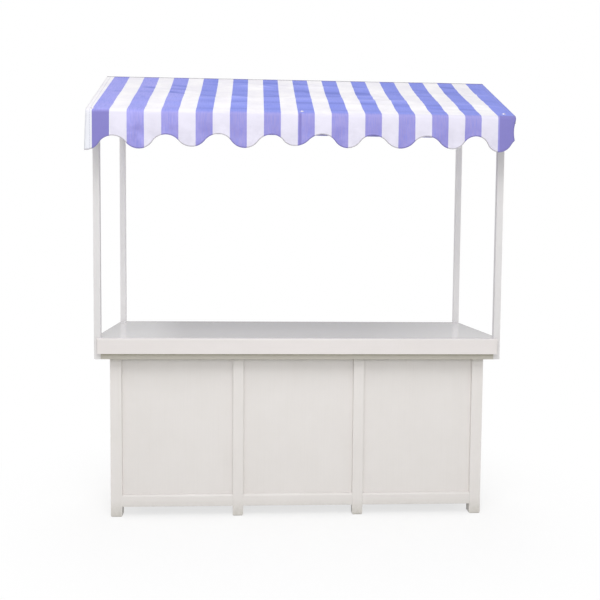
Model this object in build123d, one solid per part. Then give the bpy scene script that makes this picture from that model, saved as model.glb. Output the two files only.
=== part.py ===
from build123d import *
import math
import os

# A painted wooden market stall: a panelled counter with slim posts that carry
# a gabled roof frame and a striped fabric cover with a scalloped front edge.
# Millimetres. X runs along the counter, Y from the front to the back, Z up.
# The origin is on the ground, in the middle of the stall's outline.

# The open frame, measured over the outer faces of the posts
frame_length = 2130.0
frame_depth = 920.0
post_side = 34.0
arris_radius = 2.0
# An edge counts as a long arris if it is at least this share of the longest one
long_share = 0.9

# The counter that the posts are fixed to
counter_height = 965.0
top_thickness = 18.0
counter_rail_height = 94.0
fascia_height = 82.0
fascia_thickness = 20.0
fascia_end_inset = 16.0
fascia_edge_radius = 8.0

# The panelled body under the counter
body_side_inset = 71.0
body_end_inset = 58.0
corner_leg_side = 60.0
mid_leg_width = 56.0
mid_leg_depth = 44.0
leg_foot_chamfer = 6.0
foot_height = 55.0
body_rail_thickness = 44.0
bottom_rail_height = 62.0
bottom_rail_splay = 8.0
top_rail_height = 70.0
panel_thickness = 9.0
panel_setback = 20.0
groove_depth = 8.0
bays = 3

# The roof
ridge_height = 2385.0
roof_angle = 23.8
front_overhang = 180.0
rafter_depth = 34.0
rafter_width = 34.0
ridge_rail_depth = 62.0
eave_rail_depth = 34.0
tie_depth = 34.0

# The cover
cover_thickness = 3.0
fold_radius = 24.0
valance_drop = 173.0
scallop_pitch = 258.6
scallop_depth = 65.0
scallop_start = 5.0
rear_hem_drop = 48.0

# Places that follow from the sizes above
front_y = (front_overhang - frame_depth - fascia_thickness) / 2
back_y = front_y + frame_depth
ridge_y = front_y + frame_depth / 2
right_x = frame_length / 2
left_x = -right_x
post_in_x = right_x - post_side
top_underside = counter_height - top_thickness
rail_bottom = top_underside - counter_rail_height
slope = math.tan(math.radians(roof_angle))
slope_cos = math.cos(math.radians(roof_angle))
cover_rise = cover_thickness / slope_cos
rafter_rise = rafter_depth / slope_cos


def box_between(x0, x1, y0, y1, z0, z1):
    """A box given by its lowest and highest corners."""
    return Pos((x0 + x1) / 2, (y0 + y1) / 2, (z0 + z1) / 2) * Box(x1 - x0, y1 - y0, z1 - z0)


def corner_at(outline, y, z):
    """The corner of a side view that is nearest to a place."""
    return outline.vertices().sort_by_distance((y, z, 0))[0]


def run_across(outline, x0, x1):
    """A side view drawn out along the stall from x0 to x1."""
    across = Plane(origin=(x0, 0, 0), x_dir=(0, 1, 0), z_dir=(1, 0, 0))
    return extrude(across * outline, amount=x1 - x0, dir=(1, 0, 0))


def side_profile(points, x0, x1, rounded=None, radius=0.0):
    """A solid with a side view given by (y, z) points, running from x0 to x1."""
    outline = Face(Wire.make_polygon([Vector(y, z, 0) for y, z in points]))
    if rounded:
        outline = fillet(corner_at(outline, *rounded), radius)
    return run_across(outline, x0, x1)


def eased(piece):
    """Straight timber with its long arrises rounded, as sanding leaves them."""
    edges = piece.edges()
    longest = edges.sort_by(SortBy.LENGTH)[-1].length
    return fillet([edge for edge in edges if edge.length > longest * long_share], arris_radius)


def cover_top(y):
    """Height of the cover's outer face above a place on the ground."""
    return ridge_height - abs(y - ridge_y) * slope


def rafter_top(y):
    """Height of the roof frame's top face, where the cover lies on it."""
    return cover_top(y) - cover_rise


def rafter_under(y):
    """Height of the rafters' lower face."""
    return rafter_top(y) - rafter_rise


parts = {}

# Posts: square timber that starts level with the foot of the counter rails and
# is cut at the top to the slope of the rafters.
front_post_view = [
    (front_y, rail_bottom),
    (front_y + post_side, rail_bottom),
    (front_y + post_side, rafter_under(front_y + post_side)),
    (front_y, rafter_under(front_y)),
]
back_post_view = [
    (back_y, rail_bottom),
    (back_y, rafter_under(back_y)),
    (back_y - post_side, rafter_under(back_y - post_side)),
    (back_y - post_side, rail_bottom),
]
parts["front_left_post"] = eased(side_profile(front_post_view, left_x, -post_in_x))
parts["front_right_post"] = eased(side_profile(front_post_view, post_in_x, right_x))
parts["rear_left_post"] = eased(side_profile(back_post_view, left_x, -post_in_x))
parts["rear_right_post"] = eased(side_profile(back_post_view, post_in_x, right_x))

# Counter rails, flush with the posts' outer faces and butted between them
parts["front_counter_rail"] = eased(
    box_between(-post_in_x, post_in_x, front_y, front_y + post_side, rail_bottom, top_underside)
)
parts["rear_counter_rail"] = eased(
    box_between(-post_in_x, post_in_x, back_y - post_side, back_y, rail_bottom, top_underside)
)
parts["left_counter_rail"] = eased(
    box_between(left_x, -post_in_x, front_y + post_side, back_y - post_side, rail_bottom, top_underside)
)
parts["right_counter_rail"] = eased(
    box_between(post_in_x, right_x, front_y + post_side, back_y - post_side, rail_bottom, top_underside)
)

# Counter top: one board with its corners notched round the posts
counter_top = box_between(left_x, right_x, front_y, back_y, top_underside, counter_height)
for notch_x in (left_x, post_in_x):
    for notch_y in (front_y, back_y - post_side):
        counter_top -= box_between(
            notch_x, notch_x + post_side, notch_y, notch_y + post_side, top_underside, counter_height
        )
parts["counter_top"] = counter_top

# Fascias
fascia_x = right_x - fascia_end_inset
fascia_foot = counter_height - fascia_height


def fascia(inner_y, outward):
    """A board along the counter's edge, its outer face rounded over at the top and the ends."""
    outer_y = inner_y + outward * fascia_thickness
    low_y, high_y = sorted((inner_y, outer_y))
    board = box_between(-fascia_x, fascia_x, low_y, high_y, fascia_foot, counter_height)
    outer_face = board.faces().sort_by(Axis.Y)[0 if outward < 0 else -1]
    return fillet(outer_face.edges().sort_by(Axis.Z)[1:], fascia_edge_radius)


parts["front_fascia"] = fascia(front_y, -1)
parts["rear_fascia"] = fascia(back_y, 1)

# The body's outline in plan, and the places of its legs
body_x = right_x - body_side_inset
body_front = front_y + body_end_inset
body_back = back_y - body_end_inset
corner_centre = body_x - corner_leg_side / 2
leg_pitch = 2 * corner_centre / bays
mid_centres = [-corner_centre + leg_pitch * n for n in range(1, bays)]
bottom_rail_top = foot_height + bottom_rail_height
top_rail_foot = top_underside - top_rail_height
panel_foot = bottom_rail_top - groove_depth
panel_head = top_rail_foot + groove_depth
front_panel_y = body_front + panel_setback
back_panel_y = body_back - panel_setback - panel_thickness
side_panel_x = body_x - panel_setback - panel_thickness


def leg(x_centre, width, y0, y1):
    """A leg with its foot's edges taken off and its long arrises rounded."""
    block = box_between(x_centre - width / 2, x_centre + width / 2, y0, y1, 0, top_underside)
    footed = chamfer(block.faces().sort_by(Axis.Z)[0].edges(), leg_foot_chamfer)
    return eased(footed)


bay_edges = [-body_x + corner_leg_side]
for centre in mid_centres:
    bay_edges += [centre - mid_leg_width / 2, centre + mid_leg_width / 2]
bay_edges.append(body_x - corner_leg_side)
bay_spans = [(bay_edges[2 * n], bay_edges[2 * n + 1]) for n in range(bays)]
side_span = (body_front + corner_leg_side, body_back - corner_leg_side)


def long_panel(span, y0):
    """A panel of the front or back, let into the grooves all round."""
    return box_between(
        span[0] - groove_depth, span[1] + groove_depth, y0, y0 + panel_thickness, panel_foot, panel_head
    )


def end_panel(x0):
    """A panel of one end, let into the grooves all round."""
    y0 = side_span[0] - groove_depth
    y1 = side_span[1] + groove_depth
    return box_between(x0, x0 + panel_thickness, y0, y1, panel_foot, panel_head)


front_panels = [long_panel(span, front_panel_y) for span in bay_spans]
rear_panels = [long_panel(span, back_panel_y) for span in bay_spans]
left_panel = end_panel(-side_panel_x - panel_thickness)
right_panel = end_panel(side_panel_x)
names = ("left", "middle", "right")
for name, panel in zip(names, front_panels):
    parts["front_panel_" + name] = panel
for name, panel in zip(names, rear_panels):
    parts["rear_panel_" + name] = panel
parts["left_panel"] = left_panel
parts["right_panel"] = right_panel


def grooved(piece, panels):
    """The piece with the panels' edges housed in it."""
    for panel in panels:
        piece = piece - panel
    return piece


# Legs: square at the corners, flat between the bays
corner_back = body_front + corner_leg_side
corner_front = body_back - corner_leg_side
parts["front_left_leg"] = grooved(
    leg(-corner_centre, corner_leg_side, body_front, corner_back), [front_panels[0], left_panel]
)
parts["front_right_leg"] = grooved(
    leg(corner_centre, corner_leg_side, body_front, corner_back), [front_panels[-1], right_panel]
)
parts["rear_left_leg"] = grooved(
    leg(-corner_centre, corner_leg_side, corner_front, body_back), [rear_panels[0], left_panel]
)
parts["rear_right_leg"] = grooved(
    leg(corner_centre, corner_leg_side, corner_front, body_back), [rear_panels[-1], right_panel]
)
for n, name in enumerate(("left", "right")):
    parts["front_mid_leg_" + name] = grooved(
        leg(mid_centres[n], mid_leg_width, body_front, body_front + mid_leg_depth), front_panels[n:n + 2]
    )
    parts["rear_mid_leg_" + name] = grooved(
        leg(mid_centres[n], mid_leg_width, body_back - mid_leg_depth, body_back), rear_panels[n:n + 2]
    )


def splayed(rail, outward):
    """A bottom rail with the outer edge of its top cut at a slant, so that rain runs off it."""
    outer_face = rail.faces().sort_by(outward)[-1]
    return chamfer(outer_face.edges().sort_by(Axis.Z)[-1], bottom_rail_splay)


def long_rail(span, y0, z0, z1):
    """Timber for one bay of the front or back."""
    return box_between(span[0], span[1], y0, y0 + body_rail_thickness, z0, z1)


def end_rail(x0, z0, z1):
    """Timber for one end of the body."""
    return box_between(x0, x0 + body_rail_thickness, side_span[0], side_span[1], z0, z1)


def bottom_rails(y0, panels, outward):
    """The bottom rails of the front or back, one for each bay."""
    rails = [
        grooved(eased(splayed(long_rail(span, y0, foot_height, bottom_rail_top), outward)), [panel])
        for span, panel in zip(bay_spans, panels)
    ]
    return Compound(children=rails)


def top_rails(y0, panels):
    """The top rails of the front or back, one for each bay."""
    rails = [
        grooved(eased(long_rail(span, y0, top_rail_foot, top_underside)), [panel])
        for span, panel in zip(bay_spans, panels)
    ]
    return Compound(children=rails)


def end_bottom_rail(x0, panel, outward):
    """The bottom rail of one end."""
    return grooved(eased(splayed(end_rail(x0, foot_height, bottom_rail_top), outward)), [panel])


back_rail_y = body_back - body_rail_thickness
right_rail_x = body_x - body_rail_thickness
parts["front_bottom_rail"] = bottom_rails(body_front, front_panels, -Axis.Y)
parts["rear_bottom_rail"] = bottom_rails(back_rail_y, rear_panels, Axis.Y)
parts["left_bottom_rail"] = end_bottom_rail(-body_x, left_panel, -Axis.X)
parts["right_bottom_rail"] = end_bottom_rail(right_rail_x, right_panel, Axis.X)
parts["front_top_rail"] = top_rails(body_front, front_panels)
parts["rear_top_rail"] = top_rails(back_rail_y, rear_panels)
parts["end_top_rails"] = Compound(
    children=[
        grooved(eased(end_rail(-body_x, top_rail_foot, top_underside)), [left_panel]),
        grooved(eased(end_rail(right_rail_x, top_rail_foot, top_underside)), [right_panel]),
    ]
)

# Roof frame: a ridge rail bevelled both ways, an eave rail at the front of the
# overhang, and three pairs of rafters with plumb-cut ends
valance_out = front_y - front_overhang
eave_front = valance_out + cover_thickness
eave_back = eave_front + post_side
hem_out = back_y + cover_thickness
ridge_front = ridge_y - post_side / 2
ridge_back = ridge_y + post_side / 2
ridge_foot = rafter_top(ridge_y) - ridge_rail_depth
ridge_view = [
    (ridge_front, ridge_foot),
    (ridge_back, ridge_foot),
    (ridge_back, rafter_top(ridge_back)),
    (ridge_y, rafter_top(ridge_y)),
    (ridge_front, rafter_top(ridge_front)),
]
parts["ridge_rail"] = eased(side_profile(ridge_view, left_x, right_x))
eave_foot = rafter_top(eave_front) - eave_rail_depth
parts["front_eave_rail"] = side_profile(
    [
        (eave_front, eave_foot),
        (eave_back, eave_foot),
        (eave_back, rafter_top(eave_back)),
        (eave_front, rafter_top(eave_front)),
    ],
    left_x,
    right_x,
    (eave_front, rafter_top(eave_front)),
    fold_radius,
)

front_rafter_view = [
    (eave_back, rafter_under(eave_back)),
    (ridge_front, rafter_under(ridge_front)),
    (ridge_front, rafter_top(ridge_front)),
    (eave_back, rafter_top(eave_back)),
]
back_rafter_view = [
    (ridge_back, rafter_under(ridge_back)),
    (back_y, rafter_under(back_y)),
    (back_y, rafter_top(back_y)),
    (ridge_back, rafter_top(ridge_back)),
]
rafter_starts = (left_x, -rafter_width / 2, right_x - rafter_width)
parts["front_rafters"] = Compound(
    children=[eased(side_profile(front_rafter_view, start, start + rafter_width)) for start in rafter_starts]
)
parts["rear_rafters"] = Compound(
    children=[
        eased(side_profile(back_rafter_view, start, start + rafter_width, back_rafter_view[2], fold_radius))
        for start in rafter_starts
    ]
)

# Rails over the two rows of posts, cut between the rafters in their plane
purlin_spans = ((left_x + rafter_width, -rafter_width / 2), (rafter_width / 2, right_x - rafter_width))
front_purlin_view = [
    (front_y, rafter_under(front_y)),
    (front_y + post_side, rafter_under(front_y + post_side)),
    (front_y + post_side, rafter_top(front_y + post_side)),
    (front_y, rafter_top(front_y)),
]
back_purlin_view = [
    (back_y - post_side, rafter_under(back_y - post_side)),
    (back_y, rafter_under(back_y)),
    (back_y, rafter_top(back_y)),
    (back_y - post_side, rafter_top(back_y - post_side)),
]
parts["front_post_rail"] = Compound(
    children=[eased(side_profile(front_purlin_view, x0, x1)) for x0, x1 in purlin_spans]
)
parts["rear_eave_rail"] = Compound(
    children=[
        side_profile(back_purlin_view, x0, x1, back_purlin_view[2], fold_radius)
        for x0, x1 in purlin_spans
    ]
)

# Ties between the front and back posts, under the rafters' lowest inner edge
tie_top = rafter_under(front_y + post_side)
parts["end_ties"] = Compound(
    children=[
        eased(
            box_between(
                x0, x0 + post_side, front_y + post_side, back_y - post_side, tie_top - tie_depth, tie_top
            )
        )
        for x0 in (left_x, post_in_x)
    ]
)


def bent_cover(edge_y, drop):
    """Half of the cover in side view: from the ridge over the eave and down."""
    toward_ridge = 1 if edge_y < ridge_y else -1
    eave_z = cover_top(edge_y)
    in_y = edge_y + toward_ridge * cover_thickness
    in_z = rafter_top(in_y)
    outline = Face(
        Wire.make_polygon(
            [
                Vector(edge_y, eave_z - drop, 0),
                Vector(edge_y, eave_z, 0),
                Vector(ridge_y, cover_top(ridge_y), 0),
                Vector(ridge_y, rafter_top(ridge_y), 0),
                Vector(in_y, in_z, 0),
                Vector(in_y, eave_z - drop, 0),
            ]
        )
    )
    outline = fillet(corner_at(outline, edge_y, eave_z), fold_radius)
    outline = fillet(corner_at(outline, in_y, in_z), fold_radius - cover_thickness)
    return run_across(outline, left_x, right_x)


# Cover: each slope runs from the ridge to the start of its fold, and the
# hanging edge takes the fold with it.
front_cover = bent_cover(valance_out, valance_drop)
back_cover = bent_cover(hem_out, rear_hem_drop)
fold_length = fold_radius * math.tan(math.radians(90 - roof_angle) / 2)
fold_run = fold_length * slope_cos
front_fold_y = valance_out + fold_run
back_fold_y = hem_out - fold_run
sky = ridge_height + fold_radius
front_cut = box_between(left_x, right_x, valance_out, front_fold_y, rail_bottom, sky)
back_cut = box_between(left_x, right_x, back_fold_y, hem_out, rail_bottom, sky)
parts["canopy_front_slope"] = front_cover - front_cut
parts["canopy_rear_slope"] = back_cover - back_cut
parts["rear_hem"] = back_cover & back_cut

# Front valance: the scallops are equal arcs that meet where the wave turns,
# so each hanging lobe and each arch between them is one smooth curve.
lobe_foot = cover_top(valance_out) - valance_drop
wave_z = lobe_foot + scallop_depth / 2
half_pitch = scallop_pitch / 2
waves = math.ceil(frame_length / half_pitch) + 2
wave_x = left_x + scallop_start - half_pitch * 3 / 2
turns = [(wave_x + half_pitch * n, wave_z) for n in range(waves + 1)]
arcs = [
    SagittaArc(turns[n], turns[n + 1], scallop_depth / 2 if n % 2 else -scallop_depth / 2)
    for n in range(waves)
]
head = Polyline(turns[-1], (turns[-1][0], sky), (turns[0][0], sky), turns[0])
scallop_face = make_face([*arcs, head])
front_plane = Plane(origin=(0, valance_out, 0), x_dir=(1, 0, 0), z_dir=(0, -1, 0))
scallops = extrude(front_plane * scallop_face, amount=fold_run, dir=(0, 1, 0))
parts["front_valance"] = (front_cover & front_cut) & scallops

os.makedirs("parts", exist_ok=True)
for name, piece in parts.items():
    export_step(piece, "parts/" + name + ".step")
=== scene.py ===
import math

import bmesh
import bpy
from bpy.props import FloatProperty, FloatVectorProperty, IntProperty, PointerProperty
from mathutils import Matrix, Vector, noise


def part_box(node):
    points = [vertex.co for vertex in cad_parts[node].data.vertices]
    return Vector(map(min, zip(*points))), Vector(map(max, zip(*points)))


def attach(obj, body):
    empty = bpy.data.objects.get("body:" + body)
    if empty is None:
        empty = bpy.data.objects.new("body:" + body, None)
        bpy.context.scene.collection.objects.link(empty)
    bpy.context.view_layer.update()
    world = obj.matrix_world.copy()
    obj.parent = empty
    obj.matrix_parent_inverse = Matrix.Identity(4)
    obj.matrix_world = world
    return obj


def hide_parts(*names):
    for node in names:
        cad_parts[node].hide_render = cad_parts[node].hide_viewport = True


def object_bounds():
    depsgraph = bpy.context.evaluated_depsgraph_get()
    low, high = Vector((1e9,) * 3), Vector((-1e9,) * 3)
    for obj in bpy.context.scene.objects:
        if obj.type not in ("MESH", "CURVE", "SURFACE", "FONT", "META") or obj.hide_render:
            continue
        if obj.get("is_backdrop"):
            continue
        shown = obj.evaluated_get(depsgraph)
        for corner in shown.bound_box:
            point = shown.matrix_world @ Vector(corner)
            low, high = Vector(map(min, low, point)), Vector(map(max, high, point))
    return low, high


bl_info = {
    "name": "Market Stall Finish",
    "version": (1, 0, 0),
    "blender": (4, 5, 0),
    "location": "View3D > Sidebar > Stall",
    "description": "Dresses a wooden market stall with paint, a striped cloth cover and its fixings",
    "category": "Object",
}

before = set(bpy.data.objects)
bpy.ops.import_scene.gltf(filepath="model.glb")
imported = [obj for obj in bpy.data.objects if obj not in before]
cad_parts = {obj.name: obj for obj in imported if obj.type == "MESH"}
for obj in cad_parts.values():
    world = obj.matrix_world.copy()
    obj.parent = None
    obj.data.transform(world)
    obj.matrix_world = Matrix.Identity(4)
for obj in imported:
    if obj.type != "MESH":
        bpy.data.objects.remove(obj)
cad_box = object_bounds()


def tone(hex_code):
    """A colour written as sRGB hex, turned to the linear values that nodes use."""
    parts = [int(hex_code[i : i + 2], 16) / 255 for i in (1, 3, 5)]
    return tuple(c / 12.92 if c <= 0.04045 else ((c + 0.055) / 1.055) ** 2.4 for c in parts) + (1.0,)


# The stall's ends, and corners of the pieces that the cloth lies on or replaces
LEFT_X, RIGHT_X = cad_box[0][0], cad_box[1][0]
RIDGE_Y, RIDGE_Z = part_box("canopy_front_slope")[1].yz
VALANCE_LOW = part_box("front_valance")[0]
HEM_LOW, HEM_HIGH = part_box("rear_hem")
EAVE_LOW, EAVE_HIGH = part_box("front_eave_rail")
# Thickness of the cover's solid, and half the 34 mm timber of the roof frame
SOLID_CLOTH = 0.003
HALF_TIMBER = 0.017
# The rows of posts carry a rail each, this far from the ridge in plan, inner and outer face
POST_RAIL_IN = abs(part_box("front_post_rail")[1].y - RIDGE_Y)
POST_RAIL_OUT = abs(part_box("front_post_rail")[0].y - RIDGE_Y)
ROOF_ANGLE = math.radians(23.8)
ROOF_SLOPE, SLOPE_COS, SLOPE_SIN = math.tan(ROOF_ANGLE), math.cos(ROOF_ANGLE), math.sin(ROOF_ANGLE)
# The cloth's inner face stays this far off the timber
CLEARANCE = 0.0004


def length_setting(name, description, metres):
    """A length that the user may change."""
    return FloatProperty(name=name, description=description, default=metres, unit="LENGTH")


def colour_setting(name, description, hex_code):
    """A colour that the user may change."""
    colour = tone(hex_code)
    return FloatVectorProperty(name=name, description=description, default=colour, subtype="COLOR", size=4)


def power_setting(name, description, watts):
    """The power of a lamp, which the user may change."""
    return FloatProperty(name=name, description=description, default=watts, min=0, unit="POWER")


class StallCoverSettings(bpy.types.PropertyGroup):
    """Sizes and colours of the cloth cover."""

    cloth_thickness: length_setting("Cloth thickness", "Thickness of the woven cloth", 0.0009)
    fold_radius: length_setting("Fold radius", "Radius that the cloth takes over the eave", 0.0212)
    scallop_depth: length_setting("Scallop depth", "Height from a lobe's foot to the top of an arch", 0.065)
    stripe_width: length_setting("Stripe width", "Width of one stripe of the cloth", 0.0837)
    first_stripe: length_setting("First stripe", "Width of the part stripe at the left edge", 0.031)
    sag: length_setting("Sag", "How far the cloth dips between the rafters", 0.007)
    ripple: length_setting("Ripple", "How far the hanging edge waves in and out", 0.006)
    binding_width: length_setting("Binding width", "Width of the tape bound over the scalloped edge", 0.0045)
    columns: IntProperty(
        name="Columns", description="Number of mesh faces along the cover", default=220, min=60, max=400
    )
    blue: colour_setting("Blue stripe", "Colour of the blue stripe on the slopes", "#8B95E8")
    white: colour_setting("White stripe", "Colour of the pale stripe on the slopes", "#F9F7F9")
    # The hanging colours are shaded copies of the slopes' colours: painted shade on the upright cloth
    shaded_hung_blue: colour_setting("Hanging blue", "Colour of the blue stripe on the hanging edge", "#A09BD7")
    shaded_hung_white: colour_setting("Hanging white", "Colour of the pale stripe on the hanging edge", "#E1DEED")
    tape: colour_setting("Edge tape", "Colour of the tape on the scallops", "#BFBCC4")


class StallPaintSettings(bpy.types.PropertyGroup):
    """Colours and gloss of the painted timber."""

    body_paint: colour_setting("Body paint", "Paint on the legs, rails and panels", "#E3DFDD")
    # The rails' paint is darker than the rest as painted shade: it stands for the shade that the fascia casts
    # on them
    shaded_rail_paint: colour_setting(
        "Rail paint", "Paint on the long rails under the counter, dulled by old dirt", "#BBB7AD"
    )
    fascia_paint: colour_setting("Fascia paint", "Paint on the counter's front board", "#E2DDDC")
    post_paint: colour_setting("Post paint", "Paint on the posts and the roof frame", "#DBD9DA")
    # The rear posts' paint is lighter than the other posts' as painted light: it makes up for the canopy's
    # shade on them
    lightened_rear_post_paint: colour_setting(
        "Rear post paint", "Paint on the rear posts, which hands wear less", "#F0EEEE"
    )
    top_paint: colour_setting("Top paint", "Glossy paint of the counter top", "#EAE7E6")
    # This colour serves for old dirt at the feet and for painted shade under the counter rails and under the
    # fascia
    dirt_and_shade_colour: colour_setting("Soil", "Colour of old dirt in corners and at the feet", "#9D9A88")
    satin: FloatProperty(
        name="Satin roughness", description="Roughness of the satin paint",
        default=0.42, min=0.05, max=1.0, subtype="FACTOR",
    )
    gloss: FloatProperty(
        name="Gloss roughness", description="Roughness of the counter's gloss paint",
        default=0.07, min=0.02, max=1.0, subtype="FACTOR",
    )


class StallStageSettings(bpy.types.PropertyGroup):
    """Camera and light for the studio picture."""

    camera_place: FloatVectorProperty(
        name="Camera place", description="Where the camera stands",
        subtype="XYZ", size=3, default=(-0.2609, -4.7272, 1.4564),
    )
    camera_turn: FloatVectorProperty(
        name="Camera turn", description="How far the camera turns right, looks down and leans",
        subtype="EULER", size=3, default=(0.0597, 0.0668, 0.0086),
    )
    lens: FloatProperty(
        name="Lens", description="Focal length for a 36 mm wide picture, in millimetres",
        default=50.16, min=10, max=200, unit="CAMERA",
    )
    key_power: power_setting("Key lamp", "Power of the main soft lamp", 141.0)
    fill_power: power_setting("Fill lamp", "Power of the soft lamp on the other side", 98.0)
    back_power: power_setting("Back lamp", "Power of the soft lamp behind the stall", 95.0)
    end_power: power_setting("End lamps", "Power of each soft lamp beside the stall", 24.0)
    room_light: FloatProperty(
        name="Room light", description="Strength of the light from all round", default=0.475, min=0
    )


def node_adder(block):
    """Empties the node tree of a material or world, and gives the function that adds a node to it."""
    block.use_nodes = True
    tree = block.node_tree
    tree.nodes.clear()

    def add(kind, *inputs, out=0, **named):
        """Adds one node with its settings and links, and gives its output of that name or number, if any.

        Inputs are listed in their order, or given by a name with a capital; a socket given for one is
        linked. Settings have names without a capital, and an operation follows the kind after a space."""
        kind, _, operation = kind.partition(" ")
        node = tree.nodes.new("ShaderNode" + kind)
        if operation:
            node.operation = operation
        values = dict(enumerate(inputs))
        for name, value in named.items():
            if name[0].isupper():
                values[name] = value
            else:
                setattr(node, name, value)
        for key, value in values.items():
            if isinstance(value, bpy.types.NodeSocket):
                tree.links.new(value, node.inputs[key])
            else:
                node.inputs[key].default_value = value
        return None if out is None else node.outputs[out]

    return add


def deeper(colour, *factors):
    """A colour with each channel multiplied by its factor."""
    return tuple(c * f for c, f in zip(colour[:3], factors)) + (1.0,)


# What makes a Mix node mix colours, by a share that is its first input
COLOURS = {"data_type": "RGBA", "out": "Result"}


def painted_timber(name, paint, along, settings, gloss=None, shade_under_counter=0.0, shade_under_fascia=0.0):
    """Satin paint brushed on planed softwood: soft light, faint raised grain along the piece
    and slightly uneven colour, so that it reads as painted wood and not as plastic."""
    material = bpy.data.materials.new(name)
    add = node_adder(material)
    place = add("TexCoord", out="Object")
    # Grain lines of slow-grown softwood are about 3 mm apart and run for 260 mm
    grain_scale = [1 / 0.0032] * 3
    grain_scale[along] = 1 / 0.26
    grain_place = add("Mapping", place, Scale=grain_scale)
    grain = add("TexNoise", grain_place, Scale=1.0, Detail=3.0, Roughness=0.55)
    # Brush marks are finer than the grain, about 1.2 mm, drawn at 1.6 mm so that they show
    brush_scale = [1 / 0.0016] * 3
    brush_scale[along] = 1 / 0.09
    brush_place = add("Mapping", place, Scale=brush_scale)
    brush = add("TexNoise", brush_place, Scale=1.0, Detail=2.0)
    # Uneven colour in patches about 180 mm across
    patch = add("TexNoise", place, Scale=1 / 0.18, Detail=4.0, Roughness=0.6)
    dull = deeper(paint, 0.86, 0.855, 0.83)
    patch_share = add("MapRange", patch, 0.35, 0.75, 0.0, 0.2)
    streak_share = add("MapRange", grain, 0.45, 0.8, 0.0, 0.16)
    # Splashed dirt fades out over the lowest 90 mm of the feet
    height = add("SeparateXYZ", place, out="Z")
    low = add("MapRange", height, 0.0, 0.09, 0.7, 0.0)
    # and painted shade darkens the body just below the counter rails, over some 22 mm, where their overhang
    # shades it
    rail_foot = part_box("front_counter_rail")[0].z
    high = add("MapRange", height, rail_foot - 0.024, rail_foot - 0.002, 0.0, shade_under_counter)
    # Painted shade lies as a dark line in the corner under the fascia, over some 8 mm, for the fascia's
    # shadow on the rail
    fascia_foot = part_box("front_fascia")[0].z
    fascia_shade_line = add("MapRange", height, fascia_foot - 0.013, fascia_foot - 0.005, 0.0, shade_under_fascia)
    dirt_and_shade = add("Math ADD", low, high)
    dirt_and_shade = add("Math ADD", dirt_and_shade, fascia_shade_line)
    # The dirt at the feet and the painted shade under the counter are broken up in splashes about 20 mm
    # across
    splash = add("TexNoise", place, Scale=1 / 0.02, Detail=5.0, Roughness=0.65)
    soil_and_shade_share = add("Math MULTIPLY", dirt_and_shade, splash)
    colour = tuple(paint)
    for share, wear_and_shade in ((patch_share, dull), (streak_share, dull), (soil_and_shade_share, tuple(settings.dirt_and_shade_colour))):
        colour = add("Mix", share, A=colour, B=wear_and_shade, **COLOURS)
    rough = gloss or settings.satin
    roughness = add("MapRange", patch, 0.3, 0.7, rough * 0.85, rough * 1.25)
    raised = add("Bump", Strength=0.22, Distance=0.0006, Height=grain)
    brushed = add("Bump", Strength=0.16, Distance=0.0003, Height=brush, Normal=raised)
    film = add("BsdfPrincipled", colour, Roughness=roughness, Normal=brushed, IOR=1.5)
    add("OutputMaterial", film, out=None)
    return material


def gloss_board(name, paint, settings):
    """Gloss enamel on a flat board: sharp reflections that waver a little, as sprayed enamel does."""
    material = bpy.data.materials.new(name)
    add = node_adder(material)
    place = add("TexCoord", out="Object")
    # The enamel's waviness is about 25 mm from crest to crest
    wave = add("TexNoise", place, Scale=1 / 0.025, Detail=1.5)
    # Rubbed patches where goods are slid about, about 140 mm across
    rub = add("TexNoise", place, Scale=1 / 0.14, Detail=5.0, Roughness=0.6)
    # Fine scratches along the counter, 160 mm long and drawn 2 mm wide so that they show
    fine_place = add("Mapping", place, Scale=(1 / 0.16, 1 / 0.0022, 1 / 0.0022))
    scratch = add("TexNoise", fine_place, Scale=1.0, Detail=2.0)
    rub_share = add("MapRange", rub, 0.4, 0.75, 0.0, 0.6)
    colour = add("Mix", rub_share, A=tuple(paint), B=deeper(paint, 0.9, 0.9, 0.9), **COLOURS)
    roughness = add("MapRange", rub, 0.35, 0.75, settings.gloss, settings.gloss * 1.9)
    swell = add("Bump", Strength=0.12, Distance=0.0008, Height=wave)
    scored = add("Bump", Strength=0.05, Distance=0.0003, Height=scratch, Normal=swell)
    enamel = add("BsdfPrincipled", colour, Roughness=roughness, Normal=scored, IOR=1.5)
    add("OutputMaterial", enamel, out=None)
    return material


def stripe_share(add, settings, across, gathered):
    """0 on the pale stripes and 1 on the blue ones, at a distance across from the cover's left edge."""
    # The cloth is gathered a little along the ridge, where the stripes lie 1.1 % closer
    pull = add("Math MULTIPLY_ADD", across, 0.0110, -0.012)
    place = add("Math MULTIPLY_ADD", pull, gathered, across)
    # The last blue stripe runs out to the right-hand edge
    whole_stripes = 25
    last_edge = settings.first_stripe + whole_stripes * settings.stripe_width
    place = add("Math MINIMUM", place, last_edge - 0.002)
    # One turn is a pale and a blue stripe, and its second half is the blue one
    half, first = 0.5 / settings.stripe_width, 0.5 - 0.5 * settings.first_stripe / settings.stripe_width
    turns = add("Math MULTIPLY_ADD", place, half, first)
    pair = add("Math FRACT", turns)
    # The stripes' edges are half a millimetre soft
    soft = 0.00025 / settings.stripe_width
    rise = add("MapRange", pair, 0.5 - soft, 0.5 + soft)
    fall = add("MapRange", pair, 1.0 - soft, 1.0, 1.0, 0.0)
    return add("Math MULTIPLY", rise, fall)


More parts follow.
